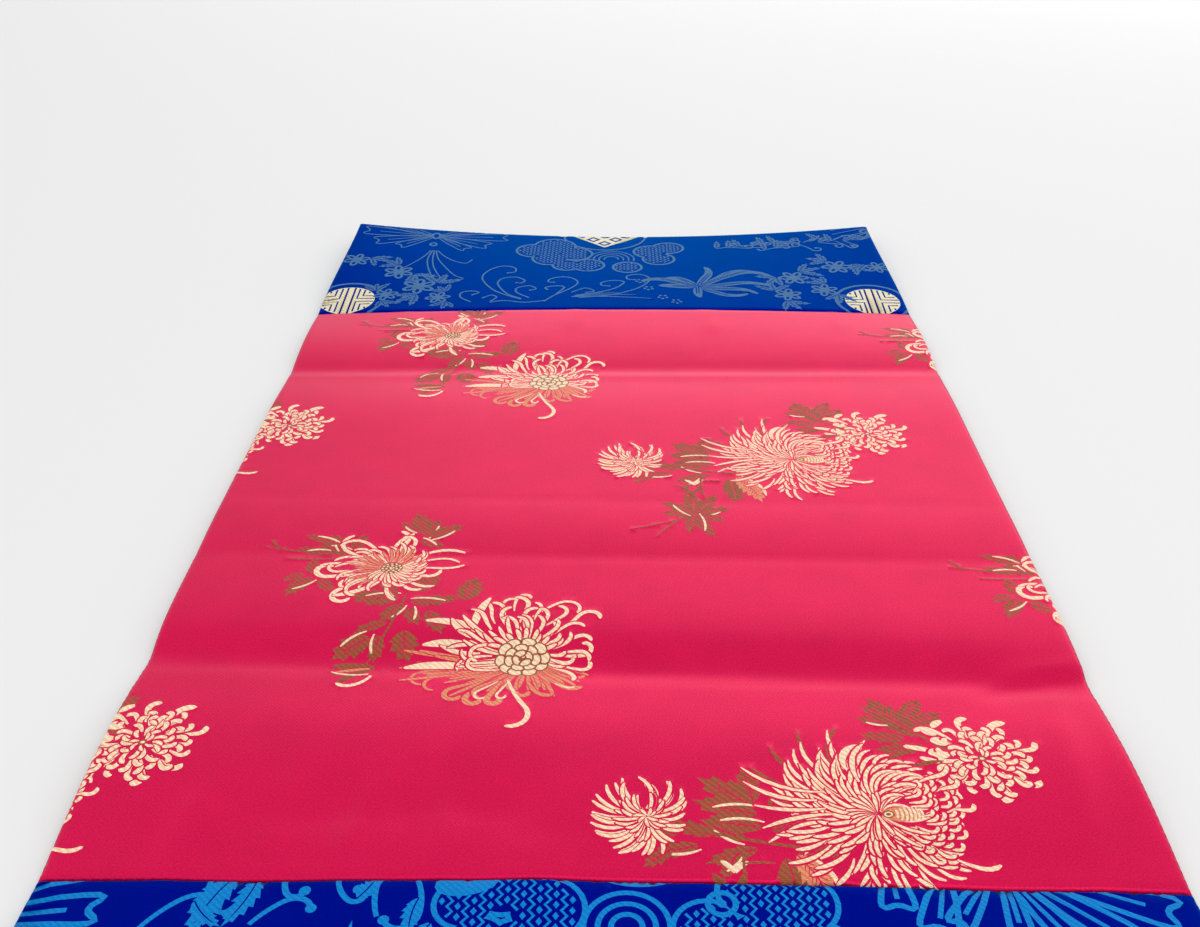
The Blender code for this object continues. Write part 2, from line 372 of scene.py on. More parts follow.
def swept_chrysanthemum():
    """The full head: a small spindle heart with long swept petals round it, hooked at the right."""
    rng = random.Random(23)
    head = []
    strokes(head, BROWN, [
        (-20, 8, 160, 17, -30, 0, 1.6), (-18, 12, 140, 17, -34, 0, 1.5), (-14, 16, 120, 18, -34, 0, 1.5),
        (-10, 20, 100, 16, -50, 0, 1.7), (-4, 20, 84, 14, -60, 0, 1.6), (4, 18, 50, 14, -40, 0, 1.6),
        (10, 16, 34, 14, -30, 0, 1.6),
    ], tip=0.3)
    for first, last, count, reach, length, bend, lean in (
        (98, 168, 9, 15.5, 17.5, -84, 34), (90, 182, 14, 11.0, 17.0, -78, 30),
        (84, 190, 16, 6.5, 15.5, -70, 26), (84, 200, 15, 2.6, 12.5, -56, 20),
    ):
        fan(head, CREAM, first, last, count, reach, length, rng, lean=lean, bend=bend, width=1.75,
            rim=0.42, base=0.35, tip=0.45, belly=0.6, uneven=0.22, jitter=5)
    strokes(head, CREAM, [
        (-6, 17, 112, 13, -100, 0, 2.8), (-14, 8, 182, 25, -50, 0, 1.7), (-16, 5, 186, 22, -50, 0, 1.8),
        (-14, 2, 190, 20, -26, 0, 1.7), (-12, 0, 182, 21, 24, 0, 1.8), (-14, -2, 190, 19, 30, 0, 1.8),
        (-3, 12, 112, 17, -70, 0, 2.2), (-14, -5, 204, 15, -30, 0, 1.8), (-12, -3, 172, 14, 40, 0, 1.6),
        (-10, -6, 196, 14, 20, 40, 1.6), (-11, -7, 214, 13, -20, 40, 1.6),
    ], rim=0.42, tip=0.4, belly=0.6)
    for reach, length, count, width in ((16.0, 10.0, 7, 1.6), (11.0, 13.0, 8, 1.7), (6.0, 14.5, 8, 1.6)):
        fan(head, CREAM, 34, 92, count, reach, length, rng, lean=26, bend=-86, hook=-10, width=width,
            rim=0.42, tip=0.5, belly=0.62, jitter=4)
    for reach, length, count in ((17.5, 11.5, 12), (12.5, 12.5, 12), (8.0, 12.0, 12), (4.0, 10.0, 12)):
        fan(head, CREAM, 196, 254, count // 2, reach, length, rng, lean=14, bend=-40, width=1.7,
            rim=0.42, tip=0.7, belly=0.72, uneven=0.24)
        fan(head, CREAM, 260, 326, 8, reach + 0.5, length, rng, lean=-20, bend=44, hook=26, width=1.6,
            rim=0.42, tip=0.8, belly=0.74, uneven=0.22)
    for reach, count, lean in ((19.5, 11, 10), (16.6, 11, -8), (13.6, 11, 8), (10.6, 10, -8)):
        fan(head, CREAM, -48, 34, count, reach, 6.6, rng, lean=lean, bend=16, hook=110, width=1.5,
            tip=1.05, belly=0.85, base=0.35, rim=0.36, jitter=14)
    strokes(head, CREAM, [
        (19, -15, 328, 12, 30, 40, 1.9), (19, 9, 20, 8, -20, 110, 1.9), (22, 2, 350, 7, 10, 110, 1.9),
        (14, 12, 30, 12, -30, 90, 1.9),
    ], rim=0.42, tip=0.9, belly=0.75)
    fan(head, CREAM, 30, 76, 6, 1.5, 12.0, rng, lean=30, bend=-84, width=1.35, rim=0.36, jitter=3)
    fan(head, CREAM, -74, -14, 7, 1.5, 12.0, rng, lean=-22, bend=64, width=1.35, rim=0.36, jitter=3)
    fan(head, CREAM, 76, 300, 17, 0.4, 8.0, rng, lean=-4, bend=14, width=1.5, rim=0.36, tip=0.6, base=0.3)
    oval(head, PEACH, 7.0, 0, 11.0, 5.2, 0, 18)
    for i in range(7):
        tall = 2.7 * math.sin(math.pi * (i + 1.6) / 9.5)
        draw(head, CREAM, 5.4 + 1.15 * i, -tall, 62, tall * 2.15, bend=56, width=0.75, base=0.7,
             tip=0.8, steps=6)
    for wide, tall, weft in ((3.6, 2.8, BROWN), (2.6, 1.9, CREAM), (1.5, 1.0, BROWN)):
        oval(head, weft, 3.2, 0, wide, tall, 10, 9)
    return head


def clubbed_chrysanthemum():
    """The round head of short clubbed petals that turn in around a small eye."""
    rng = random.Random(41)
    head = []
    strokes(head, CREAM, [
        (-8, 1, 158, 14, 10, 0, 2.4), (-9, -2, 176, 9, -20, 0, 2.2), (2, 6, 62, 14, 6, -70, 3.0),
        (-2, 9, 100, 11, 10, -120, 2.5), (-6, -7, 226, 11, -10, 120, 2.7), (3, -9, 280, 9, 20, -150, 2.6),
        (7, -7, 320, 9, 0, 110, 2.4), (10, 3, 10, 9, -10, 110, 2.3), (-7, 8, 132, 12, 20, 70, 2.3),
    ], base=0.3, tip=1.05, belly=0.85, rim=0.33)
    fan(head, CREAM, 0, 338, 15, 9.6, 6.4, rng, lean=-14, bend=20, hook=115, width=2.1, tip=1.05,
        base=0.3, belly=0.85, rim=0.4, jitter=12)
    fan(head, CREAM, 10, 350, 17, 7.0, 6.0, rng, lean=10, bend=-20, hook=-90, width=2.1, tip=1.05,
        base=0.3, belly=0.85, rim=0.33, jitter=12)
    fan(head, CREAM, 4, 344, 14, 4.8, 5.2, rng, bend=30, hook=60, width=1.9, tip=1.0, base=0.4,
        belly=0.8, rim=0.3)
    fan(head, CREAM, 0, 335, 11, 2.9, 4.0, rng, bend=-40, hook=-50, width=1.7, base=0.4, rim=0.32)
    fan(head, CREAM, 20, 330, 6, 1.3, 2.7, rng, bend=60, width=1.4, steps=4, rim=0.3)
    oval(head, BROWN, 0, 0, 2.6, 2.2)
    oval(head, CREAM, 0, 0, 1.5, 1.2, 0, 7)
    for x, y, turn in ((-14, 2, -30), (-13, 8, -40), (-15, 13, -50), (-8, 17, 200)):
        draw(head, CREAM, x, y, turn, 4.4, bend=40, width=2.4, base=0.5, tip=0.9, belly=0.5)
    return head


def pinwheel_chrysanthemum():
    """The small head of thin fingers in three turning sprays."""
    rng = random.Random(7)
    head = []
    for first, last, count, length, bend, lean in (
        (112, 196, 10, 12.5, -76, 34), (206, 280, 10, 12.5, -80, 40), (22, 92, 9, 11.5, 84, -40),
        (290, 366, 6, 8.5, 60, -20),
    ):
        fan(head, CREAM, first, last, count, 2.8, length, rng, lean=lean, bend=bend, width=1.45,
            base=0.4, tip=0.8, belly=0.7, rim=0.26, uneven=0.16, jitter=3)
        fan(head, CREAM, first + 8, last - 8, count - 2, 1.0, length * 0.6, rng, lean=lean * 0.5,
            bend=bend * 0.7, width=1.35, rim=0.34, jitter=4)
    fan(head, CREAM, 0, 320, 7, 0.3, 3.0, rng, bend=40, width=1.2, steps=4, rim=0.26)
    return head


def left_group():
    """Two heads with copper leaves and a bud between them. The origin is the large heart."""
    group = []
    leaf(group, BROWN, -44, 29, 178, 17, 9.5, -8, 4, accent=-1)
    leaf(group, BROWN, -40, 33, 52, 14, 8, 10, 4)
    leaf(group, BROWN, -40, 27, 4, 17, 6.0, 12, 4, accent=1)
    leaf(group, BROWN, -22, 28, 74, 14, 9, 4, 4)
    leaf(group, BROWN, -43, 26, 246, 11, 6.5, -16, 3, accent=1)
    leaf(group, BROWN, -40, 24, 284, 10, 5.5, 20, 3, accent=1)
    leaf(group, BROWN, -34, 22, 306, 13, 6.5, -14, 4)
    leaf(group, BROWN, -46, 16, 196, 12, 4.6, 20, 3)
    leaf(group, BROWN, -51, 9, 210, 14, 9, 16, 4, accent=-1)
    leaf(group, BROWN, -48, 10, 262, 11, 5.5, 10, 3, accent=-1)
    leaf(group, BROWN, -40, 12, 270, 13, 9.5, 26, 4)
    draw(group, BROWN, -42, 31, 262, 36, bend=-14, width=0.8, base=1, tip=0.8)
    draw(group, BROWN, -47, 30, 122, 9, width=1.6)
    leaf(group, BROWN, -45, 31, 128, 9, 4, 0, 3, accent=1)
    for turn, wide in ((196, 3.6), (172, 3.2), (216, 3.0)):
        draw(group, BROWN, -48, -4, turn, 13, bend=10, width=wide, base=0.5, tip=0.6)
    draw(group, PEACH, -49, -4.5, 186, 11, bend=14, width=2.0, rim=0.3)
    draw(group, CREAM, -49, -8, 196, 12.5, bend=-44, width=1.2, base=0.7, rim=0.25)
    draw(group, CREAM, -48, -9, 252, 13, bend=-84, hook=-30, width=1.5, base=0.6, tip=1.1, steps=9)
    small_x, small_y = -49.5, 48.0
    for x, y, heading, length, width, bend, accent in (
        (9, 20, 62, 12, 6.5, 10, -1), (9, 22, 104, 14, 8, 8, 0), (11, 20, 26, 14, 6.5, 14, -1),
        (7, 24, 148, 9, 5, -6, 1), (8, 18, 330, 10, 4.6, 16, 1),
        (-17, 10, 154, 12, 6.5, 8, -1), (-19, 12, 118, 11, 6, 14, 1), (-16, 12, 66, 10, 5.5, 8, 0),
        (-24, 10, 172, 12, 4.6, -14, -1), (-22, 15, 146, 14, 4.4, 18, -1),
        (-26, -4, 118, 10, 6, -20, 0), (-27, -6, 226, 13, 6.5, 22, 1), (-24, -7, 300, 9, 5, 12, 0),
        (-30, -4, 196, 8, 4.4, 30, 0),
    ):
        leaf(group, BROWN, small_x + x, small_y + y, heading, length, width, bend, 4, accent=accent)
    draw(group, BROWN, small_x - 18, small_y + 9, 176, 30, bend=-10, width=0.8, base=1, tip=1)
    draw(group, BROWN, small_x - 18, small_y + 6, 184, 20, bend=-10, width=0.7, base=1, tip=1)
    draw(group, BROWN, small_x - 43, small_y + 13, 128, 6, width=1.0, base=0.8)
    return group + placed(half_open_chrysanthemum(), small_x, small_y) + spider_chrysanthemum()


def right_group():
    """Three heads joined by leafy stems. The origin is where the full head's petals spring."""
    group = []
    leaf(group, BROWN, 18, 31, 128, 22, 9.5, -12, 6)
    leaf(group, BROWN, 10, 38, 176, 9, 4.5, -20, 3, accent=1)
    leaf(group, BROWN, 11, 41, 148, 9, 4.5, 0, 3)
    leaf(group, BROWN, 15, 41, 44, 11, 6.0, 14, 4)
    leaf(group, BROWN, 17, 38, 14, 11, 6.0, 22, 4)
    leaf(group, BROWN, 14, 30, 178, 13, 5.0, -16, 4)
    leaf(group, BROWN, 19, 27, 196, 15, 5.0, -18, 4)
    draw(group, BROWN, 28, 24, 152, 14, bend=-24, width=1.1, base=0.9)
    for x, y, heading, length, width, bend, accent in (
        (-34, 2, 138, 18, 9, 10, 0), (-33, 0, 172, 18, 7.5, -14, -1), (-34, 4, 96, 13, 7, 8, 0),
        (-30, 2, 40, 14, 7.5, -10, 0), (-32, -5, 168, 17, 6, 8, -1), (-30, -6, 20, 15, 6, 14, 0),
        (-37, -9, 158, 13, 5.5, -12, 1), (-34, -12, 196, 15, 5, 8, 0), (-46, -8, 152, 13, 5, 14, 0),
        (-50, -11, 196, 13, 5, -8, 1), (-56, -8, 128, 10, 5, 12, 0), (-57, -12, 214, 10, 4.6, 6, 0),
        (-40, -14, 236, 9, 4.6, 12, 1), (-24, -14, 8, 18, 5.5, 10, 0),
    ):
        leaf(group, BROWN, x, y, heading, length, width, bend, 4, accent=accent)
    draw(group, BROWN, -20, -12, 172, 44, bend=-10, width=1.0, base=1, tip=1, steps=9)
    draw(group, CREAM, -41, -20, 118, 5, bend=30, width=1.6, base=0.6)
    draw(group, CREAM, -41, -20, 60, 5, bend=-30, width=1.6, base=0.6)
    for turn, length, width in ((128, 8, 2.2), (60, 8, 1.8), (250, 7, 2.0)):
        draw(group, BROWN, -42, -27, turn, length, width=width, base=0.6, tip=0.5)
    leaf(group, BROWN, -27, -15, 284, 18, 9.0, -20, 4, veins=False)
    leaf(group, PEACH, -24, -14, 308, 20, 8.5, -26, 6)
    draw(group, CREAM, -20, -15, 324, 15, bend=-54, width=1.3, base=0.6)
    draw(group, BROWN, -30, -17, 170, 8, bend=20, width=0.8)
    draw(group, BROWN, -38, -12, 262, 18, bend=20, width=0.8, base=1, tip=1)
    draw(group, BROWN, -42, -43, 206, 26, bend=-10, width=0.7, base=1, tip=0.8)
    draw(group, BROWN, -44, -42, 222, 20, bend=16, width=0.7, base=1, tip=0.8)
    draw(group, BROWN, -44, -22, 256, 24, bend=30, width=0.8, base=1, tip=1)
    for turn, length, width, accent in (
        (172, 12, 5.5, 0), (138, 15, 6.0, 1), (88, 16, 6.5, 0), (52, 17, 5.5, 0), (12, 14, 6.0, -1),
        (332, 12, 5.0, 0), (286, 17, 5.0, 1), (250, 13, 4.6, 0),
    ):
        leaf(group, BROWN, -42, -42, turn, length, width, 14, 4, accent=accent)
    heads = placed(pinwheel_chrysanthemum(), -64, -1) + placed(clubbed_chrysanthemum(), 34.6, 21.6)
    return group + heads + swept_chrysanthemum()


# The centre panel: crimson silk satin, 304 by 368 mm, with chrysanthemum groups brocaded in
# pale gold and copper wefts. Its long sides are turned under, so the figure runs over the
# edge; its ends roll down into the seams.
def linear(code):
    """A shader colour from an sRGB hex value."""
    parts = [int(code[i:i + 2], 16) / 255 for i in (0, 2, 4)]
    return tuple(p / 12.92 if p <= 0.04045 else ((p + 0.055) / 1.055) ** 2.4 for p in parts) + (1.0,)


def add_node(tree, kind, settings=None, links=None):
    """A node with its settings and links. A key is a property's name, or an input's name or
    number."""
    node = tree.nodes.new(kind)
    for key, value in (settings or {}).items():
        if isinstance(key, str) and hasattr(node, key):
            setattr(node, key, value)
        else:
            node.inputs[key].default_value = value
    for key, source in (links or {}).items():
        tree.links.new(source, node.inputs[key])
    return node


WAVE_TURN = math.pi / 10  # a wave texture of scale 1 repeats every pi / 10 units


def weave(name, colour, shade, rows_mm, row_way, bind_mm, relief, shine, shade_amount=0.5):
    """A cloth finish on flat-cloth millimetres: rows of thread, ticks where they are bound, and
    a slow unevenness of dye and tension. relief is the height of the rows in metres."""
    material = bpy.data.materials.new(name)
    material.use_nodes = True
    tree = material.node_tree
    shader = tree.nodes["Principled BSDF"]
    place = add_node(tree, "ShaderNodeUVMap", {"uv_map": "flat_mm"}).outputs["UV"]
    rows = add_node(
        tree, "ShaderNodeTexWave",
        {"bands_direction": row_way, "Scale": WAVE_TURN / rows_mm, "Distortion": 0.6,
         "Detail": 1.0, "Detail Scale": 2.0},
        {"Vector": place},
    )
    ticks = add_node(
        tree, "ShaderNodeTexWave",
        {"bands_direction": "DIAGONAL", "Scale": WAVE_TURN / bind_mm, "Distortion": 0.3},
        {"Vector": place},
    )
    woven = add_node(
        tree, "ShaderNodeMath", {"operation": "MULTIPLY"},
        {0: rows.outputs["Fac"], 1: ticks.outputs["Fac"]},
    )
    # Where the rows dip and at the ticks the colour moves towards the shade colour: partly the binding
    # threads' own colour, partly painted shade in the grooves between threads.
    binding_and_groove_shade = add_node(
        tree, "ShaderNodeMapRange",
        {"From Min": 0.0, "From Max": 0.75, "To Min": shade_amount, "To Max": 0.0},
        {"Value": woven.outputs[0]},
    )
    tone = add_node(
        tree, "ShaderNodeMix", {"data_type": "RGBA", 6: linear(colour), 7: linear(shade)},
        {0: binding_and_groove_shade.outputs["Result"]},
    )
    slow = add_node(
        tree, "ShaderNodeTexNoise", {"Scale": 0.055, "Detail": 3.0, "Roughness": 0.55},
        {"Vector": place},
    )
    grain = add_node(
        tree, "ShaderNodeTexNoise", {"Scale": 1.7, "Detail": 2.0, "Roughness": 0.6},
        {"Vector": place},
    )
    # Both noises average a half, so together they leave the mean brightness at 1.
    uneven = add_node(
        tree, "ShaderNodeMath", {"operation": "MULTIPLY_ADD", 1: 0.22, 2: 0.49},
        {0: slow.outputs["Fac"]},
    )
    specks = add_node(
        tree, "ShaderNodeMath", {"operation": "MULTIPLY_ADD", 1: 0.80},
        {0: grain.outputs["Fac"], 2: uneven.outputs[0]},
    )
    dyed = add_node(
        tree, "ShaderNodeHueSaturation", {},
        {"Value": specks.outputs[0], "Color": tone.outputs[2]},
    )
    tree.links.new(dyed.outputs["Color"], shader.inputs["Base Color"])
    bump = add_node(
        tree, "ShaderNodeBump", {"Strength": 0.6, "Distance": relief}, {"Height": woven.outputs[0]}
    )
    tree.links.new(bump.outputs["Normal"], shader.inputs["Normal"])
    tangent = add_node(tree, "ShaderNodeTangent", {"direction_type": "UV_MAP", "uv_map": "flat_mm"})
    tree.links.new(tangent.outputs[0], shader.inputs["Tangent"])
    for socket, value in shine.items():
        shader.inputs[socket].default_value = value
    return material


# Long warp floats carry the light along the cloth, so satin is bright where it tips away from
# the eye and deep where it tips towards it. Gold and copper wefts float over it in ribs.
# Threads are about 0.1 mm apart; they are drawn at 0.4 to 0.6 mm so that they show.
crimson_satin = weave(
    "crimson_silk_satin_ground", "D8104E", "C40A3E", 0.42, "X", 0.66, 0.00004,
    {"Roughness": 0.34, "Metallic": 0.42, "Anisotropic": 0.5, "Specular IOR Level": 0.12,
     "Specular Tint": linear("F8E4EA"), "Sheen Weight": 0.05, "Sheen Roughness": 0.4,
     "Sheen Tint": linear("F83070")}, 0.2,
)
gold_weft = weave(
    "pale_gold_brocading_weft", "FFF0CC", "D47C54", 0.52, "Y", 1.15, 0.00004,
    {"Roughness": 0.42, "Specular IOR Level": 0.3}, 0.5,
)
peach_weft = weave(
    "gold_weft_bound_with_crimson", "EAA070", "C0483C", 0.52, "Y", 1.0, 0.00004,
    {"Roughness": 0.45, "Specular IOR Level": 0.2}, 0.6,
)
copper_weft = weave(
    "copper_brown_brocading_weft", "A85C38", "702420", 0.52, "Y", 1.1, 0.00005,
    {"Roughness": 0.5, "Specular IOR Level": 0.15}, 0.5,
)
plain_back = weave(
    "plain_woven_back", "B81444", "8E0A30", 0.6, "X", 0.8, 0.00004,
    {"Roughness": 0.7, "Specular IOR Level": 0.3}, 0.4,
)

# Millimetres. A turned edge rolls down over a width on the table and takes an arc of cloth.
SIDE_ROLL, SIDE_ARC = 2.2, 2.7
SEAM_ROLL, SEAM_ARC = 1.3, 1.7
GRID = 3.0  # between the plain points of a cloth's mesh
RELIEF = {CREAM: 0.16, PEACH: 0.07, BROWN: 0.11}  # how far each weft stands off the ground
ABOVE_ALL = 9.0  # higher than any relief


def inside(points, outline):
    """Which points lie inside an outline."""
    xs, ys = points[:, :1], points[:, 1:]
    start = np.array(outline)
    stop = np.roll(start, -1, axis=0)
    ax, ay, bx, by = start[:, 0], start[:, 1], stop[:, 0], stop[:, 1]
    straddles = (ay > ys) != (by > ys)
    rise = np.where(by == ay, 1.0, by - ay)
    crossed = straddles & (xs < (bx - ax) * (ys - ay) / rise + ax)
    return crossed.sum(axis=1) % 2 == 1


def row_places(start, stop, step):
    """Even places from start to stop, about a step apart."""
    count = max(1, round((stop - start) / step))
    return [start + (stop - start) * i / count for i in range(count + 1)]


class Edge:
    """One end of a cloth: a straight edge across it, and how it rolls down."""

    def __init__(self, y_left, y_right, roll, arc):
        self.y_left, self.y_right, self.roll, self.arc = y_left, y_right, roll, arc

    def at(self, x):
        return self.y_left + (self.y_right - self.y_left) * (x / HALF_WIDTH + 1) / 2


def on_table(points, near, far, upper):
    """Flat-cloth points laid on the table: the face or the back, rolled down at every edge."""
    x, y = points[:, 0], points[:, 1]
    over = np.maximum(np.abs(x) - (HALF_WIDTH - SIDE_ROLL), 0.0)
    side = np.minimum(over / SIDE_ARC, 1.0) * np.pi / 2
    laid_x = np.where(over > 0, np.sign(x) * (HALF_WIDTH - SIDE_ROLL + SIDE_ROLL * np.sin(side)), x)
    near_over = np.maximum(near.at(laid_x) + near.roll - y, 0.0)
    far_over = np.maximum(y - far.at(laid_x) + far.roll, 0.0)
    near_turn = np.minimum(near_over / near.arc, 1.0) * np.pi / 2
    far_turn = np.minimum(far_over / far.arc, 1.0) * np.pi / 2
    laid_y = np.where(near_over > 0, near.at(laid_x) + near.roll * (1 - np.sin(near_turn)), y)
    laid_y = np.where(far_over > 0, far.at(laid_x) - far.roll * (1 - np.sin(far_turn)), laid_y)
    body = np.cos(side) * np.cos(near_turn) * np.cos(far_turn)
    lying_x, under = lying(laid_x, laid_y)
    z = under + THICK / 2 * (1 + (body if upper else -body))
    return np.column_stack([lying_x, laid_y, z])


def triangulate(points, edges, rim):
    """Triangles over flat points inside the rim, with the edges kept."""
    out = delaunay_2d_cdt(points, edges, [], 0, 1e-4, False)
    flat = np.array([(v.x, v.y) for v in out[0]])
    corners = np.array([tuple(face) for face in out[2]])
    return flat, corners[inside(flat[corners].mean(axis=1), rim)]


def woven_at(places, shapes):
    """Which shape lies uppermost at each place, or -1 for the bare ground."""
    order = np.argsort(places[:, 0])
    xs = places[order, 0]
    upper = np.full(len(places), -1)
    for number, shape in enumerate(shapes):
        outline = np.array(shape.outline)
        (x_low, y_low), (x_high, y_high) = outline.min(axis=0), outline.max(axis=0)
        close = order[np.searchsorted(xs, x_low):np.searchsorted(xs, x_high)]
        ys = places[close, 1]
        close = close[(ys > y_low) & (ys < y_high)]
        upper[close[inside(places[close], outline)]] = number
    return upper


def weft_borders(corners, wefts):
    """The edges where one weft gives way to another."""
    ways = np.concatenate([corners[:, [0, 1]], corners[:, [1, 2]], corners[:, [2, 0]]])
    owner = np.tile(wefts, 3)
    ways = np.sort(ways, axis=1)
    order = np.lexsort((ways[:, 1], ways[:, 0]))
    ways, owner = ways[order], owner[order]
    twin = (ways[1:] == ways[:-1]).all(axis=1) & (owner[1:] != owner[:-1])
    return ways[:-1][twin]


def woven_cloth(name, near, far, figure, finishes, relief):
    """One cut of figured cloth as a closed sheet. The face is triangulated along the outlines
    of the figure, so each weft has its own faces, and the figure stands proud of the ground."""
    wide = HALF_WIDTH - SIDE_ROLL + SIDE_ARC
    near_out, far_out = near.roll - near.arc, far.arc - far.roll
    rolled = [0.33, 0.66]

    def limits(x):
        held = max(-HALF_WIDTH, min(HALF_WIDTH, x))
        return near.at(held) + near_out, far.at(held) + far_out

    columns = row_places(-HALF_WIDTH + SIDE_ROLL, HALF_WIDTH - SIDE_ROLL, GRID)
    edge_columns = [HALF_WIDTH - SIDE_ROLL + SIDE_ARC * s for s in rolled]
    columns = [-c for c in edge_columns] + columns + edge_columns
    grid = []
    for x in columns:
        bottom, top = limits(x)
        for y in row_places(bottom + near.arc, top - far.arc, GRID):
            grid.append((x, y))
        grid += [(x, bottom + near.arc * (1 - s)) for s in rolled]
        grid += [(x, top - far.arc * (1 - s)) for s in rolled]
    rim = []
    across_places = row_places(-wide, wide, GRID)
    low_left, high_left = limits(-wide)
    low_right, high_right = limits(wide)
    rim += [(x, limits(x)[0]) for x in across_places[:-1]]
    rim += [(wide, y) for y in row_places(low_right, high_right, GRID)[:-1]]
    rim += [(x, limits(x)[1]) for x in across_places[:0:-1]]
    rim += [(-wide, y) for y in row_places(high_left, low_left, -GRID)[:-1]]
    bounds_low = np.min(rim, axis=0)
    bounds_high = np.max(rim, axis=0)
    shown = []
    for shape in figure:
        outline = np.array(shape.outline)
        if (outline.max(axis=0) > bounds_low).all() and (outline.min(axis=0) < bounds_high).all():
            shown.append(shape)
    shape_wefts = np.array([shape.weft for shape in shown] + [GROUND])
    rim_edges = [(i, (i + 1) % len(rim)) for i in range(len(rim))]
    points, edges = list(rim), list(rim_edges)
    for shape in shown:
        first, count = len(points), len(shape.outline)
        points += shape.outline
        edges += [(first + i, first + (i + 1) % count) for i in range(count)]
    flat, corners = triangulate(points, edges, rim)
    wefts = shape_wefts[woven_at(flat[corners].mean(axis=1), shown)]
    borders = weft_borders(corners, wefts)
    ends, borders = np.unique(borders, return_inverse=True)
    borders = borders.reshape(-1, 2) + len(rim)
    middles = np.array([place for shape in shown for place in shape.middle]).reshape(-1, 2)
    owners = np.array([number for number, shape in enumerate(shown) for _ in shape.middle])
    middles = middles[woven_at(middles, shown) == owners]
    points = list(rim) + [tuple(p) for p in flat[ends]] + [tuple(p) for p in middles] + grid
    flat, corners = triangulate(points, rim_edges + [tuple(e) for e in borders], rim)
    wefts = shape_wefts[woven_at(flat[corners].mean(axis=1), shown)]
    used = np.unique(corners)
    renumber = np.full(len(flat), -1)
    renumber[used] = np.arange(len(used))
    flat, corners = flat[used], renumber[corners]

    laid = on_table(flat, near, far, True)
    proud = np.full(len(flat), ABOVE_ALL)
    for weft in range(len(finishes)):
        mine = corners[wefts == weft].ravel()
        proud[mine] = np.minimum(proud[mine], relief.get(weft, 0.0))
    lowest, highest = np.full(len(flat), 99), np.full(len(flat), -1)
    for k in range(3):
        np.minimum.at(lowest, corners[:, k], wefts)
        np.maximum.at(highest, corners[:, k], wefts)
    mixed = lowest != highest
    proud[mixed] = 0.0
    laid[:, 2] += proud

    ways = np.sort(np.concatenate([corners[:, [0, 1]], corners[:, [1, 2]], corners[:, [2, 0]]]), axis=1)
    pairs, times = np.unique(ways, axis=0, return_counts=True)
    border = pairs[times == 1]
    rim_ids = np.unique(border)
    lookup = {old: new for new, old in enumerate(rim_ids)}
    thin_grid = np.array(grid)[::2]
    back_grid = [tuple(p) for p in thin_grid[inside(thin_grid, rim)]]
    back_points = [tuple(flat[i]) for i in rim_ids] + back_grid
    back_edges = [(lookup[a], lookup[b]) for a, b in border]
    back_flat, back_corners = triangulate(back_points, back_edges, rim)
    back_laid = on_table(back_flat, near, far, False)
    ids = np.array([rim_ids[i] if i < len(rim_ids) else len(flat) + i - len(rim_ids)
                    for i in range(len(back_flat))])
    back_corners = ids[back_corners][:, ::-1]
    vertices = np.vstack([laid, back_laid[len(rim_ids):]]) * MM
    uv = np.vstack([flat, back_flat[len(rim_ids):]])
    triangles = np.vstack([corners, back_corners])
    slots = np.concatenate([wefts, np.full(len(back_corners), len(finishes) - 1)])

    mesh = bpy.data.meshes.new(name)
    mesh.from_pydata(vertices.tolist(), [], triangles.tolist())
    for finish in finishes:
        mesh.materials.append(finish)
    mesh.polygons.foreach_set("material_index", slots.astype(np.int32))
    layer = mesh.uv_layers.new(name="flat_mm")
    layer.data.foreach_set("uv", uv[triangles.ravel()].ravel().astype(np.float32))
    mesh.shade_smooth()
    mesh.update()
    piece = bpy.data.objects.new(name, mesh)
    bpy.context.scene.collection.objects.link(piece)
    return piece


REPEAT_LENGTH, REPEAT_WIDTH = 196.5, 247.0
WEFT_DROP = {-1: 6.5, 0: 0.0, 1: -12.0}  # the weft runs downhill from left to right
figure = []
for column in (-1, 0, 1):
    for row in (-1, 0, 1):
        shift_x, shift_y = column * REPEAT_WIDTH, row * REPEAT_LENGTH + WEFT_DROP[column]
        figure += placed(left_group(), -29.5 + shift_x, -91.0 + shift_y)
        figure += placed(right_group(), 73.3 + shift_x, -161.7 + shift_y)

near_seam = Edge(-SEAM + 2.0, -SEAM - 2.6, SEAM_ROLL, SEAM_ARC)
SEAM_GAP = 0.05  # from the line of a seam to each cloth
centre = woven_cloth(
    "centre_panel_cloth",
    Edge(near_seam.y_left + SEAM_GAP, near_seam.y_right + SEAM_GAP, SEAM_ROLL, SEAM_ARC),
    Edge(SEAM - SEAM_GAP, SEAM - SEAM_GAP, 0.9, 1.2),
    figure, [crimson_satin, gold_weft, peach_weft, copper_weft, plain_back], RELIEF,
)
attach(centre, "root")
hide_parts("centre_panel")


# The two end bands: royal blue silk satin, 304 by 111 mm each, cut from one cloth. The
# figure is tone on tone in azure, with cream fret medallions in thin rings. The bands are
# sewn edge to edge with the centre panel and hemmed at their free ends.
AZURE, IVORY = 1, 2
far_figure, near_figure = [], []
blue_figure = far_figure  # the list that the motifs below are added to


def stroke(path, width, weft=AZURE):
    """A band of even width along a path."""
    left, right = [], []
    for i, (px, py) in enumerate(path):
        (ax, ay), (bx, by) = path[max(i - 1, 0)], path[min(i + 1, len(path) - 1)]
        run = math.hypot(bx - ax, by - ay) or 1.0
        nx, ny = -(by - ay) / run, (bx - ax) / run
        left.append((px + nx * width / 2, py + ny * width / 2))
        right.append((px - nx * width / 2, py - ny * width / 2))
    blue_figure.append(Shape(weft, left + right[::-1], []))


def ring(x, y, radius, width, first=0, last=360, points=40):
    """A thin ring, or an arc of one between two angles."""
    path = []
    for i in range(points + 1):
        a = math.radians(first + (last - first) * i / points)
        path.append((x + radius * math.cos(a), y + radius * math.sin(a)))
    stroke(path, width)


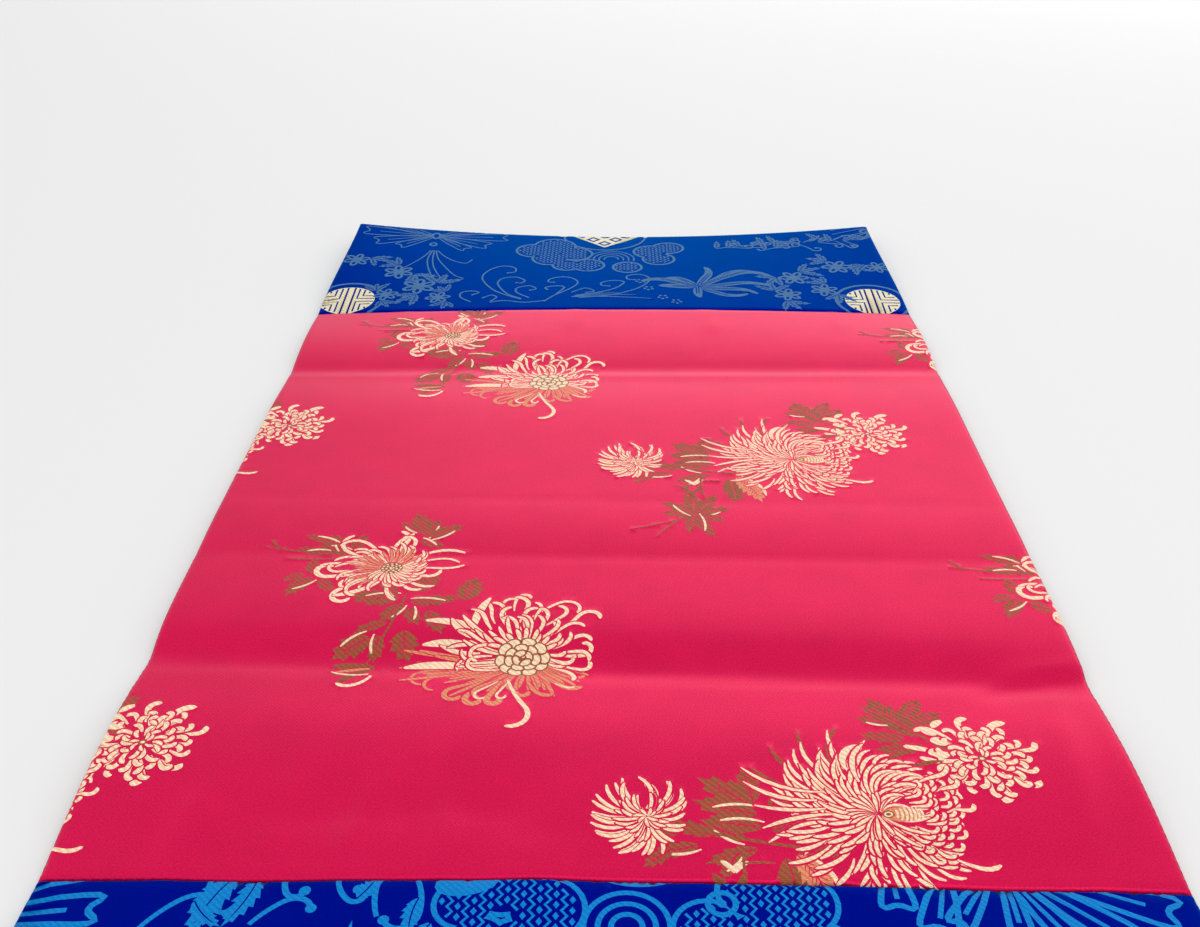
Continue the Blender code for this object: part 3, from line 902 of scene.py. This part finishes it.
def disc(x, y, radius, weft, points=28):
    """A filled round spot."""
    oval(blue_figure, weft, x, y, radius * 2, radius * 2, 0, points)


def medallion(x, y):
    """A cream disc of square frets either side of a bar, inside a ring."""
    ring(x, y, 18.8, 1.6)
    disc(x, y, 14.2, IVORY, 40)
    cut = 1.0
    for side in (-1, 1):
        stroke([(x + side * 1.9, y - 13.8), (x + side * 1.9, y + 13.8)], cut, GROUND)
        for level in (-1, 1):
            stroke([(x + side * 4.6, y + level * 12.6), (x + side * 4.6, y + level * 1.6),
                    (x + side * 13.9, y + level * 1.6)], cut, GROUND)
            stroke([(x + side * 7.4, y + level * 11.4), (x + side * 7.4, y + level * 4.6),
                    (x + side * 12.4, y + level * 4.6)], cut, GROUND)
            stroke([(x + side * 10.2, y + level * 9.4), (x + side * 10.2, y + level * 7.6)], cut, GROUND)


def lozenge(x, y, wide, tall, weft):
    """A small diamond, given by its reach to each side and up and down."""
    corners = [(x - wide, y), (x, y - tall), (x + wide, y), (x, y + tall)]
    blue_figure.append(Shape(weft, corners, []))


def lattice_diamond(x, y, reach):
    """A cream diamond of crossing bands with a small lozenge in each opening."""
    ring(x, y, reach + 4.5, 1.3)
    lozenge(x, y, reach, reach, IVORY)
    step = reach / 3.0
    for i in range(-2, 3):
        for j in range(-2, 3):
            if (i + j) % 2 == 0 and abs(i) + abs(j) <= 2:
                lozenge(x + i * step, y + j * step, step * 0.66, step * 0.66, GROUND)
                lozenge(x + i * step, y + j * step, step * 0.34, step * 0.34, IVORY)


NET_PITCH, NET_LEVEL = 4.2, 1.7  # a cloud's net: across its wavy lines, and along them


def cloud(lobes):
    """A lobed cloud: one outline round all the lobes, filled with a net of wavy lines and
    lozenges."""
    for x, y, radius in lobes:
        disc(x, y, radius + 0.7, AZURE)
    for x, y, radius in lobes:
        disc(x, y, radius - 0.8, GROUND)

    def covered(px, py):
        return any(math.hypot(px - x, py - y) < radius - 1.6 for x, y, radius in lobes)

    first = min(x - radius for x, y, radius in lobes)
    columns = int((max(x + radius for x, y, radius in lobes) - first) / NET_PITCH) + 1
    bottom = min(y - radius for x, y, radius in lobes)
    levels = int((max(y + radius for x, y, radius in lobes) - bottom) / NET_LEVEL) + 1
    for column in range(columns):
        run = []
        for level in range(levels):
            wave = 0.75 if level % 2 else -0.75
            way = -1 if column % 2 else 1
            place = (first + column * NET_PITCH + wave * way, bottom + level * NET_LEVEL)
            if covered(*place):
                run.append(place)
            else:
                if len(run) > 1:
                    stroke(run, 0.85)
                run = []
            opening = (first + (column + 0.5) * NET_PITCH, bottom + level * NET_LEVEL)
            if (level + column) % 2 == 0 and covered(*opening):
                lozenge(*opening, 0.85, 1.25, AZURE)
        if len(run) > 1:
            stroke(run, 0.85)


def scroll(x, y, heading, length, bend, hook, width):
    """A vine that ends in a curl with a round bead."""
    outline, middle = ray(x, y, heading, length, bend=bend, hook=hook, width=width, base=0.8,
                          tip=1.0, steps=26)
    blue_figure.append(Shape(AZURE, outline, []))
    disc(*middle[-1], width * 0.95, AZURE, 10)


def curve(points, width, bead):
    """A line drawn smoothly through a few points, with a bead at its end."""
    path = []
    held = [points[0]] + list(points) + [points[-1]]
    for a, b, c, d in zip(held, held[1:], held[2:], held[3:]):
        for step in range(5):
            t = step / 5
            path.append(tuple(
                b[k] + t * (c[k] - a[k]) / 2 + t * t * (a[k] - 2.5 * b[k] + 2 * c[k] - d[k] / 2)
                + t ** 3 * (1.5 * (b[k] - c[k]) + (d[k] - a[k]) / 2) for k in (0, 1)
            ))
    path.append(points[-1])
    stroke(path, width)
    disc(*points[-1], bead, AZURE, 9)


RIBBON = (
    (0, 0), (0.14, 0.16), (0.3, 0.3), (0.5, 0.42), (0.72, 0.5), (0.88, 0.55), (0.97, 0.54), (1.01, 0.44),
    (0.99, 0.3), (0.95, 0.14), (0.94, 0),
)


def ribbon_loop(x, y, heading, length, wide, width, inner=True):
    """A long loop of ribbon drawn in outline, notched at its end, with a shorter line inside."""
    c, s = math.cos(math.radians(heading)), math.sin(math.radians(heading))
    path = []
    for along, off in RIBBON + tuple((along, -off) for along, off in RIBBON[-2::-1]):
        path.append((x + length * along * c - wide * off * s, y + length * along * s + wide * off * c))
    stroke(path, width)
    if inner:
        stroke([(x + length * t * c, y + length * t * s) for t in (0.25, 0.5, 0.8)], width * 0.8)


def spray(x, y, size, turn, seed):
    """A small flower in outline with hatched leaves on either side of it."""
    rng = random.Random(seed)
    for i in range(6):
        heading = turn + 60 * i
        c, s = math.cos(math.radians(heading)), math.sin(math.radians(heading))
        oval(blue_figure, AZURE, x + size * 0.5 * c, y + size * 0.5 * s, size * 0.74, size * 0.5, heading, 9)
        oval(blue_figure, GROUND, x + size * 0.5 * c, y + size * 0.5 * s, size * 0.4, size * 0.2, heading, 7)
    disc(x, y, size * 0.2, AZURE, 8)
    for side in (-1, 1):
        for k in range(3):
            leaf(blue_figure, AZURE, x + size * 0.9 * math.cos(math.radians(turn + side * 60)),
                 y + size * 0.9 * math.sin(math.radians(turn + side * 60)),
                 turn + side * (50 + 45 * k) + rng.uniform(-12, 12), size * rng.uniform(1.0, 1.4),
                 size * 0.42, 20 * side, 4)


def long_petal(x, y, heading, length, width, bend, hook):
    """A striped petal whose tip curls over."""
    draw(blue_figure, AZURE, x, y, heading, length, bend=bend, hook=hook, width=width, base=0.4,
         tip=0.5, steps=12, belly=0.45)
    for share in (-0.22, 0.22):
        nx, ny = -math.sin(math.radians(heading)), math.cos(math.radians(heading))
        draw(blue_figure, GROUND, x + nx * width * share * 0.6, y + ny * width * share * 0.6,
             heading, length * 0.7, bend=bend * 0.7, width=width * 0.14, base=1, tip=0.5, steps=8)


def orchid(x, y):
    """A spread of long striped petals, with rings of small beads beside it."""
    for heading, length, width, bend, hook in (
        (118, 24, 5.0, 30, 90), (70, 30, 5.0, -10, 60), (38, 44, 5.0, 30, -120), (46, 54, 4.6, -24, -110),
        (8, 40, 4.6, 14, -60), (344, 33, 4.4, 24, -60), (316, 30, 4.0, 20, 60), (268, 14, 5.0, 0, 20),
        (176, 20, 6.0, -10, 20), (142, 33, 5.0, 20, 60),
    ):
        long_petal(x, y, heading, length, width, bend, hook)
    for px, py in ((-26, -2), (-19, -14), (-30, 8), (-12, -20)):
        for i in range(5):
            a = math.radians(72 * i + px)
            disc(x + px + 2.2 * math.cos(a), y + py + 2.2 * math.sin(a), 0.9, AZURE, 6)


def butterfly(x, y):
    """Wings of ribbon loops spread from a knot, with long streamers hanging from it."""
    for heading, length, wide in (
        (178, 42, 10), (200, 36, 9), (158, 34, 8), (222, 26, 7), (4, 42, 10), (340, 34, 9),
        (24, 34, 8), (318, 27, 7),
    ):
        ribbon_loop(x, y, heading, length, wide, 0.9)
    for tail in (
        ((2, -22), (3, -36), (6, -48), (12, -61), (18, -64)),
        ((3, -22), (6, -34), (12, -46), (18, -56), (23, -60)),
        ((4, -22), (9, -30), (15, -36), (22, -39), (25, -34)),
        ((1, -22), (0, -34), (2, -46), (6, -58)),
        ((0, -22), (-3, -32), (-8, -42), (-12, -48)),
    ):
        curve([(x + px, y + py) for px, py in tail], 0.8, 0.6)
    oval(blue_figure, AZURE, x, y, 6, 10, 0, 12)
    oval(blue_figure, GROUND, x, y, 3, 6, 0, 10)
    oval(blue_figure, AZURE, x, y - 13, 5, 6, 0, 10)
    oval(blue_figure, GROUND, x, y - 13, 2.4, 3, 0, 8)


def scroll_cluster(x, y):
    """Curling vines that spring to both sides of one root, each drawn from its root to its curl."""
    for vine in (
        ((0, -2), (-14, 8), (-23, 25), (-21, 37), (-14, 44), (-7, 42), (-6, 36), (-10, 34)),
        ((0, -1), (-8, 5), (-14, 18), (-12, 26), (-5, 28), (0, 24), (-1, 20), (-4, 20)),
        ((4, 0), (-3, 7), (-3, 13), (3, 16), (7, 12), (4, 10)),
        ((12, -5), (17, 3), (24, 11), (29, 20), (26, 27), (20, 29), (14, 26), (13, 22), (16, 21)),
        ((18, 5), (22, 14), (18, 16), (12, 14), (13, 11)), ((26, 7), (33, 13), (38, 9), (34, 7)),
        ((28, 3), (42, 8), (50, 14), (54, 22), (48, 24), (42, 21), (42, 17), (46, 16)),
        ((30, 0), (48, 4), (62, 14), (68, 26), (63, 33), (56, 31), (56, 26), (60, 25)),
        ((-26, -5), (-32, 1), (-32, 7), (-27, 9), (-23, 7), (-26, 4)),
        ((-16, -5), (-13, 0), (-16, 3), (-20, 0)),
        ((-16, -6), (-8, -4), (2, -6), (12, -4)),
    ):
        curve([(x + px, y + py) for px, py in vine], 0.95, 0.8)
    for heading in (4, 12, 20, 28):
        draw(blue_figure, AZURE, x + 26, y + 1, heading, 46 - heading, bend=-14, width=0.8, base=0.8)


def concentric_arcs(x, y, radii, width):
    """Arches one inside another, a little past a half circle each."""
    for radius in radii:
        ring(x, y, radius, width, first=-14, last=194, points=22)


def branch(x, y, heading, seed):
    """Curls and pointed leaves that spring in turn along a line."""
    rng = random.Random(seed)
    for k in range(6):
        way = heading + rng.uniform(-60, 60)
        scroll(x + 5 * k * math.cos(math.radians(heading)), y + 5 * k * math.sin(math.radians(heading)),
               way, rng.uniform(16, 26), rng.uniform(-80, 80), rng.choice((-300, 300)), 1.0)
        leaf(blue_figure, AZURE, x + 7 * k * math.cos(math.radians(heading)),
             y + 7 * k * math.sin(math.radians(heading)), way + 70, 12, 4, 20, 4)


# The part of the cloth in the far band.
medallion(-139, 198)
medallion(135, 197)
lattice_diamond(-5, 295.5, 20.0)
concentric_arcs(-1, 256, (13, 10, 7, 4), 0.9)
cloud([(-46, 268, 10), (-34, 276, 12), (-22, 264, 10), (-36, 256, 10), (-14, 246, 9), (-26, 246, 8)])
cloud([(22, 268, 10), (32, 274, 9), (26, 256, 9), (8, 243, 8)])
butterfly(-105, 285)
scroll_cluster(-48, 199)
orchid(45, 214)
for x, y, size, turn, seed in (
    (-144, 246, 9, 80, 1), (-118, 232, 10, 40, 2), (-104, 214, 11, 330, 3), (-92, 200, 8, 10, 4),
    (98, 226, 10, 120, 5), (92, 204, 9, 200, 6), (124, 240, 10, 60, 7), (112, 210, 9, 20, 8),
    (146, 238, 8, 100, 9), (-120, 204, 8, 200, 10),
):
    spray(x, y, size, turn, seed)
branch(60, 272, 10, 11)
branch(88, 268, 20, 12)
branch(120, 276, 0, 13)
for heading in (24, 30, 36):
    draw(blue_figure, AZURE, 130, 256 + heading, 20, 26, bend=-10, width=0.8, base=0.8)

# The part of the cloth in the near band: bold loops beside the seam, then the same motifs.
blue_figure = near_figure
medallion(-70, -250)
medallion(80, -262)
scroll_cluster(-10, -286)
orchid(-20, -236)
for x, y, size, turn, seed in (
    (-140, -240, 10, 80, 21), (-112, -262, 10, 40, 22), (30, -232, 10, 330, 23), (120, -240, 10, 10, 24),
    (-136, -280, 9, 80, 25), (134, -280, 9, 40, 26), (34, -264, 9, 200, 27), (-30, -214, 8, 120, 28),
    (-70, -218, 9, 20, 29), (76, -226, 9, 20, 30),
):
    spray(x, y, size, turn, seed)
ribbon_loop(-172, -194, 2, 40, 9, 1.9)
ribbon_loop(-172, -187, 14, 34, 6, 1.7, False)
ribbon_loop(-172, -204, 348, 38, 8, 1.8)
for x, y, heading, length, bend, hook, width in (
    (-120, -200, 62, 24, -40, -60, 1.6), (-104, -176, 250, 22, 50, 60, 1.5),
    (-92, -198, 60, 20, -50, -90, 1.6), (-86, -180, 262, 14, 60, 120, 1.7),
    (-72, -182, 270, 18, 90, 180, 1.6), (-60, -196, 110, 18, -40, -80, 1.6),
    (-52, -182, 300, 26, -70, -120, 1.6),
):
    scroll(x, y, heading, length, bend, hook, width)
for x, y, heading, length, width, bend in (
    (-99, -180, 238, 22, 8, 24), (-93, -181, 262, 18, 6, -20), (-108, -190, 300, 12, 5, 30),
    (-66, -190, 50, 8, 5, 20), (-50, -190, 250, 12, 5, 30), (-46, -198, 240, 10, 5, 20),
):
    leaf(blue_figure, AZURE, x, y, heading, length, width, bend, 6, veins=False)
cloud([(-38, -192, 8), (-28, -186, 10), (-17, -194, 10), (-34, -204, 8), (-24, -206, 9)])
cloud([(24, -200, 9), (36, -188, 9), (48, -192, 10), (38, -204, 10), (52, -206, 8)])
oval(blue_figure, AZURE, -38, -185, 17, 9, 10, 16)
ring(28, -192, 3.6, 1.6)
ring(28, -192, 0.9, 0.8, points=10)
ring(7, -163, 22.5, 2.2, first=242, last=298, points=16)
concentric_arcs(3.5, -199.5, (11.0, 7.4, 4.0), 1.5)
for x, y, heading, length, wide in (
    (74, -178, 268, 15, 8), (88, -180, 254, 21, 9), (104, -178, 268, 24, 5), (106, -180, 316, 34, 9),
    (108, -179, 338, 40, 10), (104, -180, 296, 30, 7), (108, -176, 352, 42, 8), (100, -180, 236, 22, 6),
):
    ribbon_loop(x, y, heading, length, wide, 1.7)

blue_satin = weave(
    "royal_blue_silk_satin_ground", "000A88", "00067A", 0.42, "X", 0.66, 0.00002,
    {"Roughness": 0.42, "Metallic": 0.3, "Anisotropic": 0.5, "Specular IOR Level": 0.0,
     "Specular Tint": linear("00FFFF"), "Sheen Weight": 0.3, "Sheen Roughness": 0.3,
     "Sheen Tint": linear("009CFF")}, 0.2,
)
# Azure and ivory wefts figure the near band. The far band's figure is drawn in a duller, greyer copy of the
# same azure weft: painted shade, for the azure that gives back less light at the far end.
azure_weft = weave(
    "azure_figuring_weft", "048CD0", "0450B0", 0.5, "Y", 1.0, 0.00004,
    {"Roughness": 0.5, "Specular IOR Level": 0.1, "Specular Tint": linear("A0C8FF")}, 0.5,
)
# A darker, greyer copy of the azure weft: painted shade for the far band's figure.
far_shaded_azure_weft = weave(
    "azure_weft_with_painted_far_shade", "4A7AA0", "184C90", 0.5, "Y", 1.0, 0.00004,
    {"Roughness": 0.6, "Specular IOR Level": 0.1}, 0.6,
)
ivory_weft = weave(
    "ivory_brocading_weft", "F4EAC0", "A89A70", 0.5, "Y", 1.15, 0.00006,
    {"Roughness": 0.45, "Specular IOR Level": 0.5}, 0.5,
)
blue_back = weave(
    "plain_woven_blue_back", "1430A0", "081A70", 0.6, "X", 0.8, 0.00004,
    {"Roughness": 0.7, "Specular IOR Level": 0.3}, 0.4,
)
near_finishes = [blue_satin, azure_weft, ivory_weft, blue_back]
# The far band's figure takes the shaded copy of the azure weft.
far_finishes = [blue_satin, far_shaded_azure_weft, ivory_weft, blue_back]
HEM_ROLL, HEM_ARC = 2.0, 2.6
BLUE_RELIEF = {AZURE: 0.06, IVORY: 0.12}
near_band = woven_cloth(
    "near_band_cloth",
    Edge(-END, -END, HEM_ROLL, HEM_ARC),
    Edge(near_seam.y_left - SEAM_GAP, near_seam.y_right - SEAM_GAP, SEAM_ROLL, SEAM_ARC),
    near_figure, near_finishes, BLUE_RELIEF,
)
far_band = woven_cloth(
    "far_band_cloth",
    Edge(SEAM + SEAM_GAP, SEAM + SEAM_GAP, SEAM_ROLL, SEAM_ARC),
    Edge(END, END, HEM_ROLL, HEM_ARC),
    far_figure, far_finishes, BLUE_RELIEF,
)
for piece, node in ((near_band, "near_band"), (far_band, "far_band")):
    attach(piece, "root")
    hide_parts(node)


# The setting: a plain white floor. A large soft light from beyond the far end gives satin its
# bright and deep bands, a second one behind the camera fills them, and the white surround is
# a little dimmer overhead than at its sides.
bpy.ops.mesh.primitive_plane_add(size=6.0, location=(0, 1.2, 0))
floor = bpy.context.object
floor.name = "studio_floor"
bpy.ops.object.transform_apply(location=True, rotation=True, scale=True)
floor_paint = bpy.data.materials.new("matt_white_studio_floor")
floor_paint.use_nodes = True
floor_shader = floor_paint.node_tree.nodes["Principled BSDF"]
floor_shader.inputs["Base Color"].default_value = linear("E9E9E9")
floor_shader.inputs["Roughness"].default_value = 0.9
floor.data.materials.append(floor_paint)


def soft_light(name, place, aim, size, power):
    data = bpy.data.lights.new(name, "AREA")
    data.shape = "RECTANGLE"
    data.size, data.size_y = size
    data.energy = power
    lamp = bpy.data.objects.new(name, data)
    bpy.context.scene.collection.objects.link(lamp)
    lamp.location = place
    way = [a - p for a, p in zip(aim, place)]
    flat_run = math.hypot(way[0], way[1])
    lamp.rotation_euler = (math.atan2(flat_run, -way[2]), 0, math.atan2(way[1], way[0]) - math.pi / 2)
    lamp.visible_camera = False


soft_light("far_softbox", (0.6, 1.6, 0.62), (0, 0.1, 0), (2.4, 0.9), 7.6)
soft_light("overhead_softbox", (0.45, -0.9, 1.5), (0, 0.0, 0), (1.2, 1.0), 6)

world = bpy.data.worlds.new("white_surround")
bpy.context.scene.world = world
world.use_nodes = True
surround = world.node_tree.nodes["Background"]
surround.inputs["Color"].default_value = linear("F6F6F6")
sky_way = add_node(world.node_tree, "ShaderNodeTexCoord")
height = add_node(world.node_tree, "ShaderNodeSeparateXYZ", {}, {0: sky_way.outputs["Generated"]})
fading = add_node(
    world.node_tree, "ShaderNodeMapRange",
    {"From Min": 0.15, "From Max": 0.95, "To Min": 0.98, "To Max": 0.91},
    {"Value": height.outputs["Z"]},
)
world.node_tree.links.new(fading.outputs["Result"], surround.inputs["Strength"])
bpy.context.scene.view_settings.view_transform = "Standard"

# The camera stands low at the near end and looks down along the panel.
camera_data = bpy.data.cameras.new("camera")
camera_data.lens = 38.58
camera_data.sensor_width = 36.0
camera_data.shift_x = -0.0108
camera = bpy.data.objects.new("camera", camera_data)
bpy.context.scene.collection.objects.link(camera)
camera.location = (0.0, -0.4192, 0.2714)
camera.rotation_euler = (math.radians(90 - 30.64), 0, 0)
bpy.context.scene.camera = camera
